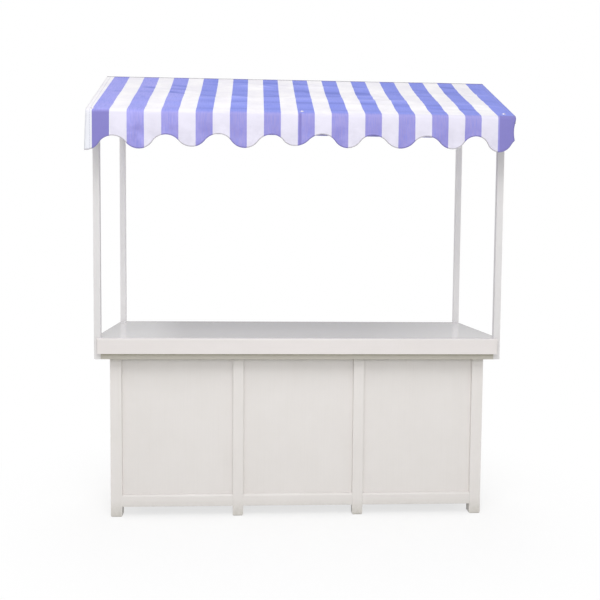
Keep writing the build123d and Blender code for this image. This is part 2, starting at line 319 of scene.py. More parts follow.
def striped_canvas(name, settings, front_fold, back_fold):
    """Woven cotton canvas with dyed stripes: matt, with a soft sheen at a slant, a plain weave,
    slubs in the yarn, painted shade in the handling creases and on the hanging edges, painted highlight on
    the creases' crests, and a row of stitches along each side."""
    material = bpy.data.materials.new(name)
    add = node_adder(material)
    # The cover's map is in metres of cloth: across from the left edge, and down with the ridge at 1,
    # the front at less and the back at more
    along = add("UVMap", uv_map="cloth")
    across, down, _ = add("SeparateXYZ", along).node.outputs
    wide = RIGHT_X - LEFT_X
    front_edge, back_edge = 1.0 - front_fold, 1.0 + back_fold
    # Yarns bleed by half a millimetre at a stripe's edge
    bleed = add("TexNoise", along, Scale=1 / 0.004, Detail=2.0)
    bleed = add("Math MULTIPLY_ADD", bleed, 0.0012, -0.0006)
    shifted = add("Math ADD", across, bleed)
    gathered = add("MapRange", down, front_edge, 1.0)
    is_blue = stripe_share(add, settings, shifted, gathered)

    # The hanging edges take a greyer violet than the slopes as painted shade: shaded copies of the slopes'
    # colours, for upright cloth that gets less light
    drop = add("Math SUBTRACT", down, front_edge)
    past_fold = add("MapRange", across, 0.0, wide, 0.008, 0.022)
    rim = add("Math SUBTRACT", drop, past_fold)
    front_hung = add("MapRange", rim, 0.012, -0.008)
    back_hung = add("MapRange", down, back_edge - 0.02, back_edge + 0.012)
    hung = add("Math MAXIMUM", front_hung, back_hung)
    # Painted shade darkens the hanging edge over 75 mm from the fold down, where less light reaches it, in
    # blotches about 70 mm across
    blotch = add("TexNoise", along, Scale=1 / 0.07, Detail=3.0, Roughness=0.6)
    blotch_share = add("MapRange", blotch, 0.36, 0.64, 0.15, 1.0)
    shade_below_fold = add("MapRange", drop, 0.0, -0.075)
    shade_below_fold = add("Math MULTIPLY", shade_below_fold, blotch_share)
    # Cloudy wear in patches about 170 mm across
    cloud = add("TexNoise", along, Scale=1 / 0.17, Detail=4.0, Roughness=0.6)
    cloud_share = add("MapRange", cloud, 0.35, 0.72, 0.0, 0.55)
    # The left-hand end of the cover has faded more than the rest
    faded = add("MapRange", across, 0.3, 0.62, 0.75, 0.0)
    # Canvas shows slubs, thicker stretches of yarn about 2 mm wide and 60 mm long, drawn at 5 mm
    # so that they show
    slub_place = add("Mapping", along, Scale=(1 / 0.005, 1 / 0.06, 1))
    slub = add("TexNoise", slub_place, Scale=1.0, Detail=2.0)
    slub_share = add("MapRange", slub, 0.42, 0.72, 0.0, 0.42)
    # The creases that handling has left are painted darker in their valleys, as painted shade, and paler on
    # their crests, as painted highlight
    crease_depth = add("Attribute", out="Fac", attribute_name="crease")
    valley_shade = add("MapRange", crease_depth, 0.0, 1.0)
    pale_valley_shade = add("MapRange", crease_depth, 0.0, 1.0, 0.0, 0.5)
    crest_highlight = add("MapRange", crease_depth, 0.0, -1.0, 0.0, 0.7)
    # The cloth is doubled for 120 mm along its left side and 80 mm along its right, and looks deeper there
    left_hem = add("MapRange", across, 0.118, 0.1205, 1.0, 0.0)
    right_hem = add("MapRange", across, wide - 0.083, wide - 0.0805)
    hems = add("Math MAXIMUM", left_hem, right_hem)
    # The hanging edge is joined from two lengths, lapped by 13 mm halfway along; the lap is painted darker,
    # both as doubled cloth and as painted shadow of the overlapping edge
    lap_start = add("MapRange", across, 1.0405, 1.0415)
    lap_end = add("MapRange", across, 1.0525, 1.0535, 1.0, 0.0)
    lap = add("Math MULTIPLY", lap_start, lap_end)
    doubled_and_lap_shadow = add("Math MAXIMUM", hems, lap)
    doubled_and_lap_shadow = add("Math MULTIPLY", doubled_and_lap_shadow, hung)
    doubled_and_lap_shadow = add("Math MULTIPLY", doubled_and_lap_shadow, 0.9)

    dull_slope = deeper(settings.blue, 0.8, 0.86, 0.93)
    dull_hung = deeper(settings.shaded_hung_blue, 0.84, 0.84, 0.92)
    # Wear, painted shade and painted highlight are laid over the dye in this order: its share, then its
    # colour
    blue_wear_and_shade = (
        (hung, tuple(settings.shaded_hung_blue)),
        (faded, tone("#B2AEF2")),
        (cloud_share, add("Mix", hung, A=dull_slope, B=dull_hung, **COLOURS)),
        (shade_below_fold, deeper(settings.shaded_hung_blue, 0.78, 0.77, 0.87)),
        (slub_share, deeper(settings.blue, 0.72, 0.74, 0.86)),
        (valley_shade, deeper(settings.blue, 0.62, 0.66, 0.76)),
        (crest_highlight, deeper(settings.blue, 1.42, 1.36, 1.16)),
        (doubled_and_lap_shadow, deeper(settings.shaded_hung_blue, 0.60, 0.59, 0.74)),
    )
    white_wear_and_shade = (
        (hung, tuple(settings.shaded_hung_white)),
        (cloud_share, deeper(settings.shaded_hung_white, 0.95, 0.95, 0.96)),
        (shade_below_fold, deeper(settings.shaded_hung_white, 0.88, 0.88, 0.89)),
        (pale_valley_shade, deeper(settings.white, 0.86, 0.86, 0.9)),
        (doubled_and_lap_shadow, deeper(settings.shaded_hung_white, 1.01, 1.06, 0.98)),
    )
    stripes = {}
    for stripe, dye, wear_and_shade in (("A", settings.white, white_wear_and_shade), ("B", settings.blue, blue_wear_and_shade)):
        stripes[stripe] = tuple(dye)
        for share, colour in wear_and_shade:
            stripes[stripe] = add("Mix", share, A=stripes[stripe], B=colour, **COLOURS)
    colour = add("Mix", is_blue, **stripes, **COLOURS)

    # Stitches: 5 mm long with 3 mm between, in a row 20 mm in from each side
    from_side = add("Math PINGPONG", across, wide / 2)
    side_row = add("Math SUBTRACT", from_side, 0.02)
    side_row = add("Math ABSOLUTE", side_row)
    on_row = add("MapRange", side_row, 0.0009, 0.0016, 1.0, 0.0)
    step = add("Math MULTIPLY", down, 1 / 0.008)
    step = add("Math FRACT", step)
    step = add("MapRange", step, 0.6, 0.66, 1.0, 0.0)
    stitch = add("Math MULTIPLY", on_row, step)
    thread_share = add("Math MULTIPLY", stitch, 0.5)
    colour = add("Mix", thread_share, A=colour, B=tone("#8F8DA8"), **COLOURS)
    # Canvas has about 2 threads in a millimetre; drawn at 2.4 mm so that it shows
    warp = add("Math MULTIPLY", across, 2 * math.pi / 0.0024)
    warp = add("Math SINE", warp)
    weft = add("Math MULTIPLY", down, 2 * math.pi / 0.0024)
    weft = add("Math SINE", weft)
    weave = add("Math MULTIPLY", warp, weft)
    woven = add("Bump", Strength=0.14, Distance=0.0003, Height=weave)
    # Soft crumples 45 mm across and 130 mm long, left by handling
    crumple_place = add("Mapping", along, Scale=(1 / 0.13, 1 / 0.045, 1))
    crumple = add("TexNoise", crumple_place, Scale=1.0, Detail=3.0, Roughness=0.5, Distortion=0.5)
    crumpled = add("Bump", Strength=0.4, Distance=0.005, Height=crumple, Normal=woven)
    # The sewn rows and the lap stand proud, and the thread is sunk into them
    sewn_row = add("MapRange", side_row, 0.0, 0.004, 1.0, 0.0)
    seams = add("Math MAXIMUM", sewn_row, lap)
    seams = add("Math SUBTRACT", seams, stitch)
    sewn = add("Bump", Strength=0.5, Distance=0.0008, Height=seams, Normal=crumpled)
    sheen = {"Sheen Weight": 0.1, "Sheen Roughness": 0.5, "Specular IOR Level": 0.3}
    canvas = add("BsdfPrincipled", colour, Roughness=0.86, Normal=sewn, **sheen)
    add("OutputMaterial", canvas, out=None)
    return material


def woven_tape(name, settings, gathered, shade_factor=1.0):
    """Binding cut from the same cloth: matt, ribbed across its width, greyer than the cloth, and darker by
    shade_factor, as painted shade where that is below 1.
    """
    material = bpy.data.materials.new(name)
    add = node_adder(material)
    place = add("TexCoord", out="Object")
    from_middle = add("SeparateXYZ", place)
    across = add("Math SUBTRACT", from_middle, LEFT_X)
    is_blue = stripe_share(add, settings, across, gathered)
    pale = deeper(settings.tape, shade_factor, shade_factor, shade_factor)
    blue = deeper(settings.shaded_hung_blue, 0.62 * shade_factor, 0.62 * shade_factor, 0.72 * shade_factor)
    colour = add("Mix", is_blue, A=pale, B=blue, **COLOURS)
    # Ribs 2.6 mm apart, and flecks of dirt about 6 mm across
    rib = add("TexWave", place, Scale=1 / 0.0026, Distortion=0.6, out="Fac", bands_direction="X")
    fleck = add("TexNoise", place, Scale=1 / 0.006, Detail=3.0)
    shade = add("MapRange", fleck, 0.3, 0.7, 1.0, 0.82)
    flecked = add("Mix", 1.0, A=colour, B=shade, blend_type="MULTIPLY", **COLOURS)
    ribbed = add("Bump", Strength=0.3, Distance=0.0004, Height=rib)
    tape = add("BsdfPrincipled", flecked, Roughness=0.9, Normal=ribbed)
    add("OutputMaterial", tape, out=None)
    return material


def plated_steel(name, hex_code, rough):
    """Zinc plating on pressed steel: pale grey metal, dulled in spots about 4 mm across by weather."""
    material = bpy.data.materials.new(name)
    add = node_adder(material)
    place = add("TexCoord", out="Object")
    spot = add("TexNoise", place, Scale=1 / 0.004, Detail=4.0)
    zinc = tone(hex_code)
    colour = add("Mix", spot, A=zinc, B=deeper(zinc, 0.7, 0.7, 0.7), **COLOURS)
    roughness = add("MapRange", spot, 0.3, 0.7, rough, rough * 1.6)
    plating = add("BsdfPrincipled", colour, Roughness=roughness, Metallic=1.0)
    add("OutputMaterial", plating, out=None)
    return material


def seen_share(add):
    """1 for the rays that show a background to the eye: straight to the camera, or by gloss or glass."""
    rays = add("LightPath").node.outputs
    seen = add("Math MAXIMUM", rays["Is Camera Ray"], rays["Is Glossy Ray"])
    return add("Math MAXIMUM", seen, rays["Is Transmission Ray"])


def new_object(name, shape_mesh, material):
    """An object in the scene, whose mesh shape_mesh makes."""
    mesh = bpy.data.meshes.new(name)
    build = bmesh.new()
    shape_mesh(build)
    build.to_mesh(mesh)
    build.free()
    mesh.materials.append(material)
    thing = bpy.data.objects.new(name, mesh)
    bpy.context.scene.collection.objects.link(thing)
    return thing


def new_piece(name, shape_mesh, material):
    """A piece that rides on the stall."""
    piece = new_object(name, shape_mesh, material)
    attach(piece, "root")
    return piece


def smooth_outward(build):
    """Smooth shading on every face, with the normals outwards."""
    for face in build.faces:
        face.smooth = True
    bmesh.ops.recalc_face_normals(build, faces=build.faces)


def grid_along(build, columns, rows):
    """Makes a grid from end to end of the stall, and gives (point, column, row, x) for each of its points."""
    bmesh.ops.create_grid(build, x_segments=columns, y_segments=rows - 1, size=0.5)
    for vert in build.verts:
        column, row = round((vert.co.x + 0.5) * columns), round((vert.co.y + 0.5) * (rows - 1))
        yield vert, column, row, LEFT_X + (RIGHT_X - LEFT_X) * column / columns


def cloth_under(y):
    """Height of the roof frame's top face at y, where the cloth lies on it."""
    return RIDGE_Z - abs(y - RIDGE_Y) * ROOF_SLOPE - SOLID_CLOTH / SLOPE_COS


class EaveRun:
    """The cloth's path in side view from the ridge, over one eave and down to its hanging edge.

    Measured down the cloth, its fold starts at slope and ends at fold, and its edge is at length."""

    def __init__(self, edge_y, foot_z, radius):
        self.side = -1 if edge_y < RIDGE_Y else 1
        self.edge_y, self.foot_z, self.radius = edge_y, foot_z, radius
        turn = math.radians(90) - ROOF_ANGLE
        tangent = radius * math.tan(turn / 2)
        self.slope = (abs(edge_y - RIDGE_Y) - tangent * SLOPE_COS) / SLOPE_COS
        self.fold = self.slope + radius * turn
        self.centre_y = edge_y - self.side * radius
        self.hang_z = cloth_under(edge_y) - tangent
        self.length = self.fold + self.hang_z - foot_z

    def at(self, run):
        """(y, z, outward y, outward z) at a distance run down the cloth from the ridge."""
        if run <= self.slope:
            y = RIDGE_Y + self.side * run * SLOPE_COS
            return y, cloth_under(y), self.side * SLOPE_SIN, SLOPE_COS
        if run <= self.fold:
            lean = ROOF_ANGLE + (run - self.slope) / self.radius
            out_y, out_z = self.side * math.sin(lean), math.cos(lean)
            return self.centre_y + self.radius * out_y, self.hang_z + self.radius * out_z, out_y, out_z
        return self.edge_y, self.hang_z - (run - self.fold), self.side, 0.0

    def rows(self, step):
        """Distances down the cloth at which it has a row of points, closer over the fold."""
        flat = round(self.slope / step)
        drop = max(3, round((self.length - self.fold) / step))
        over_fold = 7
        rows = [self.slope * n / flat for n in range(flat)]
        rows += [self.slope + (self.fold - self.slope) * n / over_fold for n in range(over_fold)]
        rows += [self.fold + (self.length - self.fold) * n / drop for n in range(drop + 1)]
        return rows


# Creases that handling has left in the front slope: distance down from the ridge in mm, where each
# starts and ends along the stall in m, its height (below zero for a valley), width and slant in mm
FRONT_CREASES = (
    (35, -1.0, 1.0, -0.8, 12, 4), (85, -0.66, 0.36, -4.2, 17, 45), (150, -0.46, 0.52, 4.6, 30, 20),
    (232, -0.86, -0.44, -5, 16, 55), (252, -0.42, 0.5, -5.2, 30, 18), (205, 0.42, 1.02, -3.4, 22, -30),
    (365, -0.46, 0.26, -4.8, 15, -20), (430, -0.6, 0.66, 5, 28, 6), (498, -0.56, 0.92, -4.4, 17, 12),
    (555, -0.95, 0.1, 3, 22, 16), (634, -0.72, 0.98, -3.6, 14, 2), (385, 0.34, 0.92, -3.2, 18, 36),
    (300, -1.02, -0.62, -2.6, 20, -30), (160, -0.75, -0.57, -4.6, 16, 60),
    (300, -0.77, -0.58, -4.4, 15, 70), (450, -0.77, -0.58, 3.4, 16, 30),
    (120, -0.57, -0.42, -3.8, 14, 30), (360, -0.61, -0.4, -4.8, 14, 90), (440, -0.58, -0.42, 3.5, 16, 30),
    (130, -0.41, -0.26, -4, 13, -20), (330, -0.42, -0.24, -5, 13, -30), (400, -0.42, -0.24, 4.6, 16, 20),
    (530, -0.4, -0.24, 3.6, 16, -50), (140, -0.25, -0.05, -4.6, 14, 100),
    (220, -0.26, -0.04, 4.4, 16, 80), (330, -0.26, -0.05, -4.6, 13, 90),
    (430, -0.22, -0.05, -4.6, 12, 20), (550, -0.22, -0.06, -3.6, 14, -30), (160, 0.09, 0.26, -4, 13, -20),
    (330, 0.1, 0.27, -4.6, 12, 10), (375, 0.1, 0.27, 4.2, 14, 10), (430, 0.1, 0.28, -5, 13, 10),
    (130, 0.26, 0.41, -4.2, 14, 50), (250, 0.27, 0.44, -4.4, 14, 50), (330, 0.28, 0.44, 3.8, 16, 20),
    (260, 0.43, 0.6, -4.2, 14, 60), (530, 0.44, 0.63, -5.2, 13, 10), (160, 0.59, 0.76, -4.8, 18, 50),
    (300, 0.61, 0.79, -4.2, 14, 40), (560, 0.63, 0.82, -4.8, 13, 20), (100, 0.75, 0.93, -4.6, 16, 50),
    (250, 0.77, 0.95, -4.4, 14, 60), (480, 0.79, 0.97, 3.8, 15, 40), (570, 0.79, 0.97, -4.4, 13, 30),
    (120, 0.89, 1.04, -4.4, 14, 60), (260, 0.89, 1.05, 3.8, 14, 70), (380, 0.89, 1.05, -4.2, 13, 70),
    (500, 0.9, 1.05, 3.6, 14, 50),
)
# The same for the rear slope
BACK_CREASES = (
    (70, -0.9, -0.1, -3.6, 18, 30), (120, 0.05, 0.85, 3.6, 28, -20), (205, -0.62, 0.4, -4.2, 24, 24),
    (290, 0.2, 1.0, -3.4, 16, -28), (340, -0.98, -0.3, 3.6, 26, 12), (405, -0.5, 0.76, -4, 18, 10),
)


def crease_at(x, run, creases):
    """(height, depth) of the creases at one point of a slope, the depth from -1 on a crest to 1 in a valley.

    A crease wanders by some 9 mm, and fades out at both ends and here and there on its way."""
    height = 0.0
    for down, start, end, tall, wide, slant in creases:
        share = (x - start) / (end - start)
        if not 0.0 < share < 1.0:
            continue
        wander = 9.0 * noise.noise(Vector((x * 4.0, down * 0.031, 5.0)))
        near = (run * 1000 - down - slant * (share - 0.5) - wander) / wide
        if abs(near) > 3.0:
            continue
        fade = min(1.0, math.sin(math.pi * share) * 2.2)
        fade *= 0.65 + 0.7 * noise.noise(Vector((x * 6.5, down * 0.017, 9.0)))
        height += tall * math.exp(-near * near) * fade
    full_depth = 5.0
    return height / 1000, max(-1.0, min(1.0, -height / full_depth))


def smooth_bay(value, start, end):
    """0 at both ends of a span and outside it, 1 in the middle, with an even curve."""
    share = (value - start) / (end - start)
    if share <= 0 or share >= 1:
        return 0.0
    return math.sin(math.pi * share) ** 1.2


# Where the scalloped edge turns, as it was cut by hand: distance from the cover's left edge and
# how far each point lies off a level edge. Lobes and arches take turns, from a lobe on
SCALLOP_TURNS = (
    (0.005, -0.024), (0.129, -0.018), (0.256, -0.013), (0.388, -0.008), (0.512, -0.001), (0.644, -0.002),
    (0.772, -0.003), (0.908, 0.000), (1.020, 0.010), (1.160, 0.004), (1.284, 0.004), (1.411, 0.004),
    (1.549, 0.006), (1.683, 0.002), (1.811, 0.007), (1.931, 0.007), (2.046, -0.005), (2.168, 0.000),
)


def scallop_foot(x, settings, foot_z):
    """(height, slope) of the scalloped edge at x: two equal arcs between each lobe and arch."""
    across = max(x - LEFT_X, SCALLOP_TURNS[0][0])
    place = max(n for n, turn in enumerate(SCALLOP_TURNS[:-1]) if turn[0] <= across)
    (start, first_off), (end, last_off) = SCALLOP_TURNS[place], SCALLOP_TURNS[place + 1]
    arches = (settings.scallop_depth, 0.0) if place % 2 else (0.0, settings.scallop_depth)
    low, high = foot_z + first_off + arches[0], foot_z + last_off + arches[1]
    half, rise = (end - start) / 2, (high - low) / 2
    radius = (half * half + rise * rise) / (2 * abs(rise))
    way = math.copysign(1.0, rise)
    first_arc = across - start <= half
    along = across - start if first_arc else end - across
    level = math.sqrt(radius * radius - along * along)
    lift = way * (radius - level)
    return (low + lift if first_arc else high - lift), way * along / level


def cloth_point(x, run, path, settings):
    """(place, crease depth) of a point of the cover: x along the stall, run down the cloth from the ridge."""
    front = path.side < 0
    y, z, out_y, out_z = path.at(run)
    out, crease = CLEARANCE, 0.0
    if run < path.fold:
        # On the slopes the cloth sags between the rafters and rails, and less so past the posts' rail
        down = abs(y - RIDGE_Y)
        open_bay = smooth_bay(down, HALF_TIMBER, POST_RAIL_IN)
        if front:
            open_bay += 0.45 * smooth_bay(down, POST_RAIL_OUT, abs(EAVE_HIGH.y - RIDGE_Y))
        between = smooth_bay(x, LEFT_X + 2 * HALF_TIMBER, -HALF_TIMBER) ** 0.4
        between += smooth_bay(x, HALF_TIMBER, RIGHT_X - 2 * HALF_TIMBER) ** 0.4
        uneven = 0.8 + 0.5 * noise.noise(Vector((x * 2.1, down * 3.0, 4.0)))
        sag = settings.sag * open_bay * between * uneven
        # It is creased and a little slack, up to the last 50 mm at the ends, where it is pulled taut
        height, crease = crease_at(x, run, FRONT_CREASES if front else BACK_CREASES)
        slack = noise.noise(Vector((x * 3.1, run * 6.5, 1.7 * path.side)))
        slack += 0.5 * noise.noise(Vector((x * 8.0, run * 17.0, 3.1)))
        taut_end, slack_height = 0.05, 0.0016
        edge = max(0.0, min(1.0, (x - LEFT_X) / taut_end, (RIGHT_X - x) / taut_end))
        deepest = CLEARANCE - sag * 1.4
        out = max(deepest, (slack_height * slack + height) * edge - sag)
        on_timber = sag < 0.0012
        if on_timber:
            out = max(out, CLEARANCE)
    else:
        # The hanging edge waves in and out, by more towards its foot, and the short rear one by less
        depth = run - path.fold
        long_wave, short_wave = 0.52, 0.31
        wave = math.sin(math.tau * x / long_wave + 0.7) + 0.6 * math.sin(math.tau * x / short_wave + 2.1)
        wave += 0.9 * noise.noise(Vector((x * 5.0, 2.2, depth * 3)))
        sway = settings.ripple * wave * min(1.0, depth / 0.14) ** 1.4 * (1.0 if front else 0.3)
        # Down to 12 mm below the eave rail it hangs against timber, and can only stand outwards
        backed = not front or z > EAVE_LOW.z - 0.012
        furthest_in = -0.0002 if backed else -0.004
        out += max(sway, furthest_in)
        # Its right-hand end curls in by up to 9 mm between the fold and the lobe, over the last 70 mm, and
        # its left-hand end swings out by up to 7 mm at the foot, over the last 120 mm
        if front:
            curl = max(0.0, 1.0 - (RIGHT_X - x) / 0.07)
            swing = max(0.0, 1.0 - (x - LEFT_X) / 0.12)
            x -= 0.009 * curl * curl * math.sin(math.pi * min(1.0, depth / 0.12))
            x -= 0.007 * swing * min(1.0, depth / 0.16)
    return (x, y + out_y * out, z + out_z * out), crease


def cover_paths(settings):
    """The front and back halves of the cloth's path."""
    front = EaveRun(VALANCE_LOW.y + SOLID_CLOTH, VALANCE_LOW.z, settings.fold_radius)
    back = EaveRun(HEM_HIGH.y - SOLID_CLOTH, HEM_LOW.z, settings.fold_radius)
    return front, back


class STALL_OT_cover(bpy.types.Operator):
    """Makes the striped cloth that lies over the roof frame, as one sheet with both hanging edges"""

    bl_idname = "stall.cover"
    bl_label = "Cloth cover"

    def execute(self, context):
        settings = context.scene.stall_cover
        front, back = cover_paths(settings)
        canvas = striped_canvas("dyed_cotton_canvas", settings, front.fold, back.fold)
        # Rows of points some 8 mm apart, from the front scallops over the ridge to the rear hem
        row_step = 0.0078
        rows = [(front, run) for run in reversed(front.rows(row_step))]
        middle = len(rows) - 1
        rows += [(back, run) for run in back.rows(row_step)[1:]]
        columns = settings.columns

        def weave_sheet(build):
            uv = build.loops.layers.uv.new("cloth")
            creased = build.verts.layers.float.new("crease")
            chains = [[None] * len(rows) for _ in range(columns + 1)]
            for vert, column, row, x in grid_along(build, columns, len(rows)):
                path, run = rows[row]
                if path is front and run > path.fold:
                    # The rows of the hanging edge close up towards the scallops
                    edge_z, _ = scallop_foot(x, settings, path.foot_z)
                    hung_share = (run - path.fold) / (path.length - path.fold)
                    run = path.fold + hung_share * (path.hang_z - edge_z)
                vert.co, vert[creased] = cloth_point(x, run, path, settings)
                chains[column][row] = vert
            # The map's second way is the length of cloth from the ridge, measured down each column
            lengths = {}
            for chain in chains:
                for order in (range(middle + 1, len(rows)), range(middle - 1, -1, -1)):
                    total, last, way = 0.0, chain[middle], 1 if order.step > 0 else -1
                    lengths[last] = 0.0
                    for row in order:
                        total += (chain[row].co - last.co).length
                        last = chain[row]
                        lengths[last] = way * total
            smooth_outward(build)
            for face in build.faces:
                for loop in face.loops:
                    loop[uv].uv = (loop.vert.co.x - LEFT_X, lengths[loop.vert] + 1.0)
            if sum(face.normal.z for face in build.faces) < 0:
                bmesh.ops.reverse_faces(build, faces=build.faces)

        cover = new_piece("striped_cover", weave_sheet, canvas)
        thick = cover.modifiers.new("cloth thickness", "SOLIDIFY")
        thick.thickness = settings.cloth_thickness
        thick.offset = 1.0
        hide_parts("canopy_front_slope", "canopy_rear_slope", "front_valance", "rear_hem")
        bindings = [self.bind_edge(front, settings), self.seam_ridge(front, back, settings)]
        return {"FINISHED"}

    def bind_edge(self, path, settings):
        """A tape folded over the scalloped edge, half a millimetre proud of it."""
        wide, proud = settings.binding_width, 0.0005
        thick = settings.cloth_thickness
        # The tape in section: (height above the edge, distance out from the cloth's inner face)
        section = (
            (wide, -0.0001), (wide, -proud), (0.0, -proud), (-proud, 0.0), (-proud, thick),
            (0.0, thick + proud), (wide, thick + proud), (wide, thick),
        )
        columns = 420

        def fold_tape(build):
            for vert, _, row, x in grid_along(build, columns, len(section)):
                up, out = section[row]
                # The tape stands square to the edge, which slopes along its arcs
                foot, slope = scallop_foot(x, settings, path.foot_z)
                square = math.sqrt(1 + slope * slope)
                at_x = min(max(x - up * slope / square, LEFT_X), RIGHT_X)
                at_z = foot + up / square
                place, _ = cloth_point(at_x, path.fold + path.hang_z - at_z, path, settings)
                vert.co = (place[0], place[1] + path.side * out, at_z)
            smooth_outward(build)

        binding = woven_tape("cotton_binding_tape", settings, gathered=0.0)
        return new_piece("edge_tape", fold_tape, binding)

    def seam_ridge(self, front, back, settings):
        """A narrow tape sewn over the join of the two slopes along the ridge."""
        half_width, thick = 0.009, 0.0006
        outer = half_width + 0.0005
        runs = [(front, outer), (front, half_width), (front, 0.0), (back, half_width), (back, outer)]
        rise = (0.0, thick, thick, thick, 0.0)
        columns = 200

        def lay_tape(build):
            for vert, _, row, x in grid_along(build, columns, len(runs)):
                path, run = runs[row]
                place, _ = cloth_point(x, run, path, settings)
                _, _, out_y, out_z = path.at(run)
                lift = settings.cloth_thickness / SLOPE_COS + rise[row]
                vert.co = (x, place[1] + (out_y * lift if run else 0.0), place[2] + out_z * lift)
            smooth_outward(build)

        # The ridge tape is darkened by 0.78 as painted shade along the ridge
        seam = woven_tape("cotton_ridge_tape", settings, gathered=1.0, shade_factor=0.78)
        return new_piece("ridge_tape", lay_tape, seam)


class STALL_OT_fixings(bpy.types.Operator):
    """Puts the screws and washers that hold the cloth to the eave rails"""

    bl_idname = "stall.fixings"
    bl_label = "Cloth fixings"

    def execute(self, context):
        settings = context.scene.stall_cover
        steel = plated_steel("zinc_plated_steel", "#DDD9E2", 0.42)
        front, back = cover_paths(settings)
        # Where each goes in: its place along the stall, and how far up the slope from the fold
        spots = (("left", -1.034, 0.006), ("middle", -0.008, 0.014), ("right", 1.015, 0.032))
        for path, row in ((front, "front"), (back, "rear")):
            for side, x, above_fold in spots:
                name = row + "_screw_" + side
                self.drive_screw(name, x, path.slope - above_fold, path, settings, steel)
        return {"FINISHED"}

    def drive_screw(self, name, x, run, path, settings, steel):
        """A pan-head screw on a domed washer, 18 mm across."""
        place, _ = cloth_point(x, run, path, settings)
        _, _, out_y, out_z = path.at(run)
        # Half section of washer and head, from the rim inwards: (radius, height)
        section = (
            (0.0091, 0.0), (0.0089, 0.0009), (0.0062, 0.0015), (0.0044, 0.0016),
            (0.0042, 0.0030), (0.0032, 0.0040), (0.0016, 0.0044), (0.0, 0.0045),
        )
        head_top = section[-1][1]

        def turn(build):
            line = [build.verts.new((radius, 0.0, height)) for radius, height in section]
            edges = [build.edges.new(pair) for pair in zip(line, line[1:])]
            full_turn = {"cent": (0, 0, 0), "axis": (0, 0, 1), "angle": 2 * math.pi}
            bmesh.ops.spin(build, geom=line + edges, steps=28, use_merge=True, **full_turn)
            bmesh.ops.remove_doubles(build, verts=build.verts, dist=0.00001)
            # Two crossed ridges on the head, in place of the cross that a driver fits
            for size in ((0.0046, 0.0009, 0.0004), (0.0009, 0.0046, 0.0004)):
                ridge = bmesh.ops.create_cube(build, size=1.0)["verts"]
                bmesh.ops.scale(build, vec=size, verts=ridge)
                bmesh.ops.translate(build, vec=(0, 0, head_top), verts=ridge)
            lean = Vector((0, 0, 1)).rotation_difference(Vector((0, out_y, out_z))).to_matrix()
            bmesh.ops.rotate(build, cent=(0, 0, 0), matrix=lean, verts=build.verts)
            lift = settings.cloth_thickness
            seat = (x, place[1] + out_y * lift, place[2] + out_z * lift)
            bmesh.ops.translate(build, vec=seat, verts=build.verts)
            smooth_outward(build)

        new_piece(name, turn, steel)


# Words in the names of nodes that are cloth, part of the roof frame, upright, or laid from front to back
CLOTH_WORDS = {"canopy", "valance", "hem"}
ROOF_WORDS = {"post", "ridge", "eave", "rafters", "ties"}
UPRIGHT_WORDS = {"leg", "post", "panel"}
ACROSS_WORDS = {"left", "right", "rails", "rafters", "ties"}


def grain_axis(words):
    """The axis that the grain runs along, 0 to 2, in a node whose name has these words."""
    if words & UPRIGHT_WORDS and "rail" not in words:
        return 2
    return 1 if words & ACROSS_WORDS else 0


class STALL_OT_paint(bpy.types.Operator):
    """Gives the timber its paint, with the grain running along each piece"""

    bl_idname = "stall.paint"
    bl_label = "Painted timber"

    def execute(self, context):
        settings = context.scene.stall_paint
        rails = painted_timber("satin_shaded_rail_paint", settings.shaded_rail_paint, 0, settings, shade_under_fascia=2.0)
        end_rails = painted_timber("satin_end_rail_paint", settings.body_paint, 1, settings)
        fascia = painted_timber("satin_fascia_paint", settings.fascia_paint, 0, settings, gloss=0.34)
        own_paint = {
            "counter_top": gloss_board("gloss_enamel_board", settings.top_paint, settings),
            "front_fascia": fascia, "rear_fascia": fascia,
            "front_counter_rail": rails, "rear_counter_rail": rails,
            "left_counter_rail": end_rails, "right_counter_rail": end_rails,
        }
        # The rest is of three kinds, each with its paint and how much painted shade it has just below the
        # counter
        kinds = {
            # the rear posts' paint is lightened as painted light for the canopy's shade on them
            "lightened_rear_post": (settings.lightened_rear_post_paint, 0.0),
            "post": (settings.post_paint, 0.0),
            "body": (settings.body_paint, 0.95),
        }
        made = {}
        for name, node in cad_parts.items():
            words = set(name.split("_"))
            if words & CLOTH_WORDS:
                continue
            kind = "lightened_rear_post" if words >= {"rear", "post"} else "post" if words & ROOF_WORDS else "body"
            along = grain_axis(words)
            key = kind + "_paint_along_" + "xyz"[along]
            if name not in own_paint and key not in made:
                paint, dirt_and_shade = kinds[kind]
                made[key] = painted_timber("satin_" + key, paint, along, settings, shade_under_counter=dirt_and_shade)
            node.data.materials.clear()
            node.data.materials.append(own_paint.get(name) or made[key])
        return {"FINISHED"}


